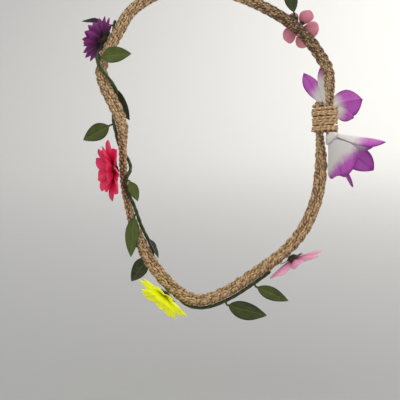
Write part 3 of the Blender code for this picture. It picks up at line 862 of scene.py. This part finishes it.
def build_calyx(head, stalk, top, material, points, sepal):
    """The green cup behind a flower, with its points laid along the petals' backs."""
    shape = Shape()
    profile = [(0, -stalk), (1.9, -stalk), (2.3, -stalk + 0.5), (top * 0.82, -1.5), (top, -0.75)]
    profile += [(top * 0.7, -0.7), (0, -0.7)]
    add_turned(shape, head.place, profile, 40, lobes=points * 2, depth=0.035, shade=0.3)
    settle(shape.build(f"{head.name}_cup", material), "rope", "calyx_plastic", f"{head.name}_calyx")
    tips = Shape()
    for i in range(points):
        petal = Petal(360 * (i + 0.5) / points, sepal, 1.6, 0, -3, "sepal", cup=0.08)
        petal.add(tips, head, top * 0.62 * MM, -0.86 * MM, 9, 5)
    tips.values["shade"] = [(0, np.full(tips.count, 0.2))]
    settle(tips.build(f"{head.name}_cup_points", material, 0.28 * MM), "rope", "calyx_plastic")


def build_flower(head, seed, cloth, slot, rings, button, calyx, **shape):
    """A flower: its rings of petals, its middle and the green cup behind it."""
    draw = random.Random(seed)
    for part, count, length, half_width, rise, rise_end, turned, hub, height in rings:
        petals = petal_ring(count, length, half_width, rise, rise_end, draw, turned, **shape)
        build_layer(head, part, petals, cloth, slot, hub, height)
    build_button(head, *button)
    build_calyx(head, *calyx)


def build_daisy(head, seed, cloth, slot, count, length, half_width, rises, grains, green, **shape):
    """A daisy: two cupped rings of petals round a golden middle."""
    rings = (
        ("back_petals", count, length, half_width, *rises[:2], 0, 3.0, 0),
        ("front_petals", count, length * 0.8, half_width * 0.95, *rises[2:], 180 / count, 2.8, 1.4),
    )
    button = (2.9, 2.1, 1.9, 70, grains, "golden_centre")
    build_flower(head, seed, cloth, slot, rings, button, (2.5, 4.5, green, 6, 5.0), **shape)


def build_round_flowers(settings):
    """The purple aster, the two daisies, the pale flower under the rope and the blossom behind it."""
    green = grain_finish("calyx plastic", (0.045, 0.085, 0.018), (0.008, 0.014, 0.004), 500.0, 0.55, 0.4)
    brown = grain_finish("dark calyx", (0.055, 0.050, 0.022), (0.014, 0.010, 0.006), 500.0, 0.6, 0.4)
    gold = settings.button_gold
    grains = grain_finish("golden grains", gold, scaled_colour(gold, 0.35), 900.0)
    dark_grains = grain_finish("aster button", (0.10, 0.02, 0.08), (0.015, 0.004, 0.012), 900.0)

    purple = settings.aster_purple
    # Painted shade near the middle and painted highlight at the tips
    cloth = petal_finish("aster cloth", scaled_colour(purple, 0.30), purple, scaled_colour(purple, 2.3, 0.02), 0.6, 5.0)
    rings = (
        ("outer_petals", 14, 13.8, 2.7, 11, 27, 0, 3.4, 0),
        ("inner_petals", 12, 11.2, 2.6, 37, 56, 12, 2.6, 1.5),
    )
    button = (2.2, 2.2, 2.2, 46, dark_grains, "dark_centre")
    shape = {"kind": "sepal", "cup": 0.30, "ripple": 0.12, "fold": 0.10}
    head = Head("purple_aster")
    build_flower(head, 31, cloth, "purple_fabric", rings, button, (2.6, 4.0, brown, 6, 5.5), **shape)

    pink = settings.daisy_pink
    # Painted shade where the petals leave the middle, and painted highlight at their tips
    painted_shade_pink, painted_highlight_pink = scaled_colour(pink, 0.38), scaled_colour(pink, (1.2, 3, 1.5), (0, 0.03, 0.05))
    cloth = petal_finish("pink daisy cloth", painted_shade_pink, pink, painted_highlight_pink, 0.6, 9.0, 0.42, 0.08)
    shape = {"kind": "round", "cup": 0.55, "ripple": 0.35, "fold": 0.04, "rises": (1, 14, 12, 44)}
    head = Head("pink_daisy")
    build_daisy(head, 41, cloth, "hot_pink_fabric", 8, 17.2, 4.8, grains=grains, green=green, **shape)

    yellow = settings.daisy_yellow
    # Painted shade near the middle (olive) and painted highlight at the tips (lemon)
    olive, lemon = scaled_colour(yellow, (0.55, 0.50, 1)), scaled_colour(yellow, (1.08, 1.06, 0), (0, 0, 0.03))
    cloth = petal_finish("yellow daisy cloth", olive, yellow, lemon, 0.6, 9.0, 0.42, 0.22)
    shape = {"kind": "broad", "cup": 0.34, "ripple": 0.30, "fold": 0.04, "notch": 0.06}
    shape["rises"] = (1, 12, 12, 36)
    head = Head("yellow_daisy")
    build_daisy(head, 51, cloth, "yellow_fabric", 10, 17.6, 4.0, grains=grains, green=green, **shape)

    pale = settings.pale_pink
    # Painted shade near the middle (shaded) and painted highlight at the tips (tip)
    shaded, tip = scaled_colour(pale, (0.42, 0.16, 0.20)), scaled_colour(pale, 1.18, 0.05, 0.95)
    cloth = petal_finish("pale pink cloth", shaded, pale, tip, 0.45, 6.0, 0.55, 0.06)
    rings = [("petals", 8, 17.0, 4.4, 7, 16, 0, 2.8, 0)]
    button = (2.3, 0.7, 1.8, 44, grains, "golden_centre")
    shape = {"cup": 0.40, "ripple": 0.4, "fold": 0.05}
    head = Head("pale_pink", (1, 0, 0))
    build_flower(head, 61, cloth, "pale_pink_fabric", rings, button, (3.0, 4.3, brown, 5, 6.0), **shape)

    pink = settings.blossom_pink
    # Painted shade near the middle (shaded) and painted highlight at the tips (tip)
    shaded, tip = scaled_colour(pink, (0.55, 0.25, 0.30)), scaled_colour(pink, 1.25, 0.06, 0.95)
    cloth = petal_finish("blossom cloth", shaded, pink, tip, 0.4, 6.0, 0.55)
    rings = [("petals", 5, 11.6, 5.8, 4, 22, 24, 2.7, 0)]
    button = (1.9, 0.7, 1.4, 30, grains, "golden_centre")
    shape = {"cup": 0.20, "ripple": 0.45, "waves": 9.0}
    head = Head("top_blossom")
    build_flower(head, 71, cloth, "rose_fabric", rings, button, (2.6, 3.0, green, 5, 3.6), **shape)


def build_orchid(name, up, throat, layers, material, white):
    """An orchid: pointed sepals, broad petals, the lip, the white column and the stem behind."""
    head = Head(name, up)
    heights = {"sepals": (throat + 0.3, 0.0), "petals": (throat, 0.6), "lip": (2.3, 1.8)}
    for part, petals in layers.items():
        build_layer(head, part, petals, material, "orchid_fabric", *heights[part], 0.4, (27, 19))
    column = Shape()
    profile = [(0, 7.4), (1.0, 7.2), (1.5, 6.3), (1.2, 5.0), (1.55, 4.0), (1.3, 3.7), (1.0, 3.6)]
    add_turned(column, head.place, [*profile, (1.0, -3.0), (0, -3.1)], 20, lobes=3, depth=0.06, shade=0.4)
    settle(column.build(f"{name}_column_cap", white), f"{name}_head", "orchid_white", f"{name}_column")
    stem = Shape()
    cup = [(0, -4.5), (1.9, -4.45), (2.4, -4.0), (throat * 0.8, -3.0), (throat * 1.05, -1.6)]
    cup += [(throat * 1.12, -0.5), (throat * 1.06, -0.3), (throat * 0.8, -0.3), (0, -0.6)]
    add_turned(stem, head.place, cup, 24, lobes=6, depth=0.03, shade=0.5)
    settle(stem.build(f"{name}_stem_cup", white), "rope", "orchid_white", f"{name}_stem")


def build_orchids(settings):
    """The two white and magenta orchids at the whipping."""
    magenta, white = settings.orchid_magenta, settings.orchid_white
    cloth = orchid_finish("orchid cloth", white, magenta, scaled_colour(magenta, (0.45, 0.12, 0.45)))
    throat = grain_finish("orchid throat", white, (0.72, 0.70, 0.64), 350.0, 0.5, 0.15)
    low = {
        "sepals": [
            Petal(26, 30.5, 7.0, 56, 53, "sepal", 0.30, 0.5, dyed_from=0.48, tint=0.2, phase=1.0),
            Petal(162, 31, 4.4, 71, 71, "sepal", 0.20, 0.4, dyed_from=0.55, tint=0.6, phase=2.2),
            Petal(280, 38, 7.8, 62, 68, "sepal", 0.25, 0.5, dyed_from=0.42, tint=0.9, phase=0.4),
        ],
        "petals": [
            Petal(126, 26.5, 14.6, 53, 33, "broad", 0.24, 0.8, dyed_from=0.58, skew=0.04, slope=0.20, tint=0.4),
            Petal(345, 24.0, 9.5, 66, 60, "round", 0.35, 0.8, dyed_from=0.80, tint=0.7, waves=8, phase=2.0),
        ],
        "lip": [Petal(215, 16, 4.2, 76, 66, "broad", 0.45, 1.0, dyed_from=0.20, tint=0.5, waves=12)],
    }
    high = {
        "sepals": [
            Petal(1, 28, 3.4, 16, 6, "sepal", 0.25, 0.3, dyed_from=0.70, tint=0.3, phase=0.5),
            Petal(114, 17, 4.6, 16, 6, "sepal", 0.25, 0.3, dyed_from=0.55, tint=0.6, phase=1.5),
            Petal(202, 14, 4.0, 16, 6, "sepal", 0.25, 0.3, dyed_from=0.75, tint=0.8, phase=2.5),
        ],
        "petals": [
            Petal(78, 25.0, 9.4, 22, 12, "sepal", 0.22, 0.8, dyed_from=0.32, tint=0.4, waves=8, fold=0.20),
            Petal(337, 27.5, 5.2, 20, 12, "sepal", 0.22, 0.5, dyed_from=0.42, skew=0.1, tint=0.6, phase=1.2),
        ],
        "lip": [Petal(180, 13, 4.2, 60, 70, "broad", 0.45, 0.9, dyed_from=0.20, tint=0.5, waves=12)],
    }
    build_orchid("low_orchid", (0.66, 0.0, 0.74), 4.4, low, cloth, throat)
    build_orchid("high_orchid", (-0.08, 0.31, 0.95), 2.7, high, cloth, throat)


# ---------------------------------------------------------------- studio


def build_stage(settings):
    """The floor that curves up into the backdrop, the soft lights and the camera."""
    floor, wall, sweep, edge = -0.265, 2.2, 0.7, 14.0
    curve = np.linspace(0, math.pi / 2, 13)
    profile = [(-edge, floor), (0.0, floor)]
    profile += [(wall - sweep + sweep * math.sin(t), floor + sweep * (1 - math.cos(t))) for t in curve]
    profile += [(wall, edge / 2)]
    shape = Shape()
    columns = (-edge, 0.0, edge)
    points = np.array([(x, y, z) for y, z in profile for x in columns])
    shape.add(points, grid_faces(len(profile), len(columns)))
    backdrop = shape.build("studio_backdrop", paper_finish("studio paper", settings.paper))
    centre = np.array((CAD_BOX[0] + CAD_BOX[1]) / 2)
    lamps = (
        ("key", (-1.1, -1.9, 1.5), 0.9, 1.0),
        ("fill", (1.8, -1.6, 0.3), 1.6, 0.30),
        ("low fill", (-1.6, -1.5, -0.02), 0.9, 0.35),
        ("rim", (0.9, 1.2, 1.8), 1.0, 0.35),
    )
    for name, offset, size, share in lamps:
        data = bpy.data.lights.new(f"{name} light", "AREA")
        data.size = size
        data.energy = settings.light_power * share
        data.color = (1.0, 0.94, 0.86)
        lamp = bpy.data.objects.new(f"{name} light", data)
        bpy.context.scene.collection.objects.link(lamp)
        lamp.location = centre + np.array(offset)
        lamp.visible_camera = False
        x, y, z = offset
        # Each lamp shines away from the crown, on the floor or the backdrop
        lamp.rotation_euler = (math.acos(z / math.hypot(x, y, z)), 0, math.atan2(-y, -x) + math.pi / 2)
    world = bpy.data.worlds.new("soft room")
    world.use_nodes = True
    background = world.node_tree.nodes["Background"]
    background.inputs["Color"].default_value = (1.0, 0.99, 0.97, 1)
    background.inputs["Strength"].default_value = settings.room_light
    bpy.context.scene.world = world
    bpy.context.scene.view_settings.view_transform = "Standard"
    camera = bpy.data.objects.new("camera", bpy.data.cameras.new("camera"))
    bpy.context.scene.collection.objects.link(camera)
    camera.location = (0, -0.68716, -0.0594961)
    camera.rotation_euler = (math.radians(82), 0, 0)
    camera.data.sensor_width = 36
    camera.data.lens = 83.08
    camera.data.clip_start = 0.01
    bpy.context.scene.camera = camera


# ---------------------------------------------------------------- settings, operators and panel


def colour_setting(name, description, default):
    return FloatVectorProperty(
        name=name, description=description, default=default, subtype="COLOR", size=3, min=0.0, max=1.0
    )


def length_setting(name, description, default):
    return FloatProperty(
        name=name, description=description, default=default, min=0.0002, subtype="DISTANCE", unit="LENGTH"
    )


class RopeSettings(bpy.types.PropertyGroup):
    plait_pitch: length_setting("Plait pitch", "Length of rope in which a strand crosses over and back", 0.021)
    yarn_width: length_setting("Yarn width", "Width of one jute yarn in a strand", 0.00138)
    twine_width: length_setting("Twine width", "Width of the twine that whips the rope's ends", 0.0019)
    loose_fibres: IntProperty(
        name="Loose fibres", description="Fine fibres that stand off the rope", default=520, min=0
    )
    light_yarn: colour_setting("Light yarn", "Jute where it is palest", (1.0, 0.68, 0.36))
    dark_yarn: colour_setting("Dark yarn", "Jute where it is darkest", (0.105, 0.040, 0.012))


class LeafSettings(bpy.types.PropertyGroup):
    leaf_green: colour_setting("Leaf", "Cloth of the leaves", (0.130, 0.185, 0.012))
    leaf_dark: colour_setting("Leaf shade", "Leaf cloth at its darkest", (0.022, 0.031, 0.005))
    leaf_vein: colour_setting("Leaf veins", "Pressed veins of the leaves", (0.21, 0.27, 0.05))


class FlowerSettings(bpy.types.PropertyGroup):
    aster_purple: colour_setting("Aster", "Petals of the aster", (0.150, 0.005, 0.130))
    daisy_pink: colour_setting("Pink daisy", "Petals of the pink daisy", (0.80, 0.007, 0.090))
    daisy_yellow: colour_setting("Yellow daisy", "Petals of the yellow daisy", (0.88, 0.92, 0.010))
    pale_pink: colour_setting("Pale flower", "Petals of the pale pink flower", (0.82, 0.34, 0.50))
    blossom_pink: colour_setting("Blossom", "Petals of the blossom", (0.72, 0.235, 0.31))
    orchid_magenta: colour_setting("Orchid edge", "Dyed part of the orchid petals", (0.56, 0.040, 0.57))
    orchid_white: colour_setting("Orchid throat", "White part of the orchid petals", (0.82, 0.79, 0.77))
    button_gold: colour_setting("Golden middle", "Grains in the daisies' middles", (0.80, 0.42, 0.02))


class StudioSettings(bpy.types.PropertyGroup):
    light_power: FloatProperty(
        name="Key light", description="Power of the main soft light", default=200.0, min=0.0, unit="POWER"
    )
    room_light: FloatProperty(
        name="Room light", description="Strength of the light from all round", default=0.80, min=0.0
    )
    paper: colour_setting("Paper", "Floor and backdrop", (0.47, 0.48, 0.49))


class FLOWERCROWN_OT_stage(bpy.types.Operator):
    """Set out the backdrop, the lights and the camera"""

    bl_idname = "flowercrown.stage"
    bl_label = "Set out the studio"

    def execute(self, context):
        build_stage(context.scene.crown_studio)
        return {"FINISHED"}


class FLOWERCROWN_OT_rope(bpy.types.Operator):
    """Plait the jute rope"""

    bl_idname = "flowercrown.rope"
    bl_label = "Plait the rope"

    def execute(self, context):
        build_rope(context.scene.crown_rope)
        return {"FINISHED"}


class FLOWERCROWN_OT_whipping(bpy.types.Operator):
    """Whip the rope's two ends together with twine"""

    bl_idname = "flowercrown.whipping"
    bl_label = "Whip the ends"

    def execute(self, context):
        build_whipping(context.scene.crown_rope)
        return {"FINISHED"}


class FLOWERCROWN_OT_vine(bpy.types.Operator):
    """Wind the taped stems along the rope"""

    bl_idname = "flowercrown.vine"
    bl_label = "Wind the vine"

    def execute(self, context):
        build_vine()
        return {"FINISHED"}


class FLOWERCROWN_OT_leaves(bpy.types.Operator):
    """Set the cloth leaves on the vine"""

    bl_idname = "flowercrown.leaves"
    bl_label = "Set the leaves"

    def execute(self, context):
        build_leaves(context.scene.crown_leaves)
        return {"FINISHED"}


class FLOWERCROWN_OT_round_flowers(bpy.types.Operator):
    """Set the aster, the daisies, the pale flower and the blossom"""

    bl_idname = "flowercrown.round_flowers"
    bl_label = "Set the round flowers"

    def execute(self, context):
        build_round_flowers(context.scene.crown_flowers)
        return {"FINISHED"}


class FLOWERCROWN_OT_orchids(bpy.types.Operator):
    """Set the two orchids at the whipping"""

    bl_idname = "flowercrown.orchids"
    bl_label = "Set the orchids"

    def execute(self, context):
        build_orchids(context.scene.crown_flowers)
        return {"FINISHED"}


class FLOWERCROWN_PT_panel(bpy.types.Panel):
    """The crown's settings and the steps that make it"""

    bl_idname = "FLOWERCROWN_PT_panel"
    bl_label = "Flower Crown"
    bl_space_type = "VIEW_3D"
    bl_region_type = "UI"
    bl_category = "Flower Crown"

    def draw(self, context):
        for step in STEPS:
            self.layout.operator(step.bl_idname)
        for key, group in SETTINGS.items():
            box = self.layout.box()
            for name in group.__annotations__:
                box.prop(getattr(context.scene, key), name)


SETTINGS = {
    "crown_rope": RopeSettings,
    "crown_leaves": LeafSettings,
    "crown_flowers": FlowerSettings,
    "crown_studio": StudioSettings,
}
STEPS = (
    FLOWERCROWN_OT_stage,
    FLOWERCROWN_OT_rope,
    FLOWERCROWN_OT_whipping,
    FLOWERCROWN_OT_vine,
    FLOWERCROWN_OT_leaves,
    FLOWERCROWN_OT_round_flowers,
    FLOWERCROWN_OT_orchids,
)


def register():
    for made in (*SETTINGS.values(), *STEPS, FLOWERCROWN_PT_panel):
        bpy.utils.register_class(made)
    for key, group in SETTINGS.items():
        setattr(bpy.types.Scene, key, PointerProperty(type=group))


def unregister():
    for key in SETTINGS:
        delattr(bpy.types.Scene, key)
    for made in reversed((*SETTINGS.values(), *STEPS, FLOWERCROWN_PT_panel)):
        bpy.utils.unregister_class(made)


def main():
    register()
    for step in STEPS:
        group, name = step.bl_idname.split(".")
        getattr(getattr(bpy.ops, group), name)()


if __name__ == "__main__":
    main()
